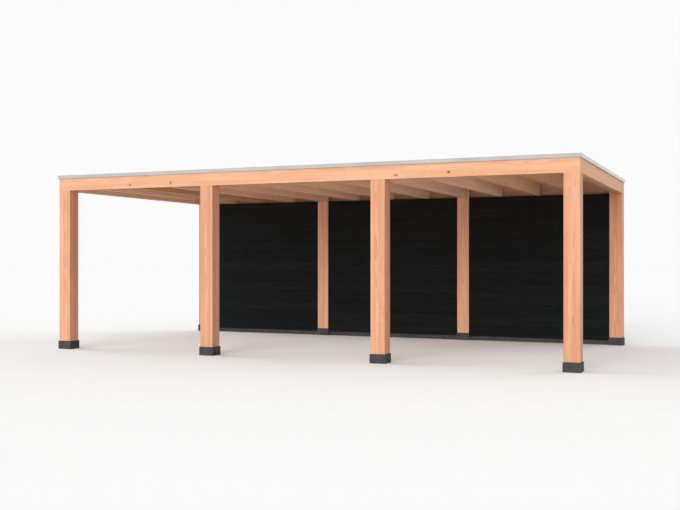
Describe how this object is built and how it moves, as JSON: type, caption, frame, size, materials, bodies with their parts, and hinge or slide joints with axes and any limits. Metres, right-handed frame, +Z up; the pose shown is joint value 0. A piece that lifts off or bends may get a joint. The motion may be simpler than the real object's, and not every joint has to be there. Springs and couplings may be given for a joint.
{
  "type": "carport",
  "caption": "Flat-roofed timber carport on square posts with concrete feet, open in front and at both ends, with a black boarded rear wall and a metal roof edge.",
  "frame": {"origin": "on the ground at the middle of the plan", "axes": "+X along the length, to the right seen from the front; +Y from the open front to the rear wall; +Z up"},
  "size_m": [7.65, 4.1, 2.575],
  "materials": {
    "timber": "planed, untreated",
    "deck_boards": "planed, untreated",
    "black_boards": "black stain",
    "concrete": "dyed concrete",
    "edge_trim": "mill finish",
    "membrane": "matt"
  },
  "bodies": {
    "root": {"foot_front_1": "concrete", "post_front_1": "timber", "foot_front_2": "concrete", "post_front_2": "timber", "foot_front_3": "concrete", "post_front_3": "timber", "foot_front_4": "concrete", "post_front_4": "timber", "foot_rear_1": "concrete", "post_rear_1": "timber", "foot_rear_2": "concrete", "post_rear_2": "timber", "foot_rear_3": "concrete", "post_rear_3": "timber", "foot_rear_4": "concrete", "post_rear_4": "timber", "rafter_01": "timber", "rafter_02": "timber", "rafter_03": "timber", "rafter_04": "timber", "rafter_05": "timber", "rafter_06": "timber", "rafter_07": "timber", "rafter_08": "timber", "rafter_09": "timber", "rafter_10": "timber", "rafter_11": "timber", "rafter_12": "timber", "rafter_13": "timber", "front_beam": "timber", "front_trim": "edge_trim", "right_beam": "timber", "right_trim": "edge_trim", "rear_beam": "timber", "rear_trim": "edge_trim", "left_beam": "timber", "left_trim": "edge_trim", "wall_left": "black_boards", "plinth_left": "concrete", "wall_middle": "black_boards", "plinth_middle": "concrete", "wall_right": "black_boards", "plinth_right": "concrete", "roof_deck": "deck_boards", "roof_membrane": "membrane"}
  },
  "joints": []
}
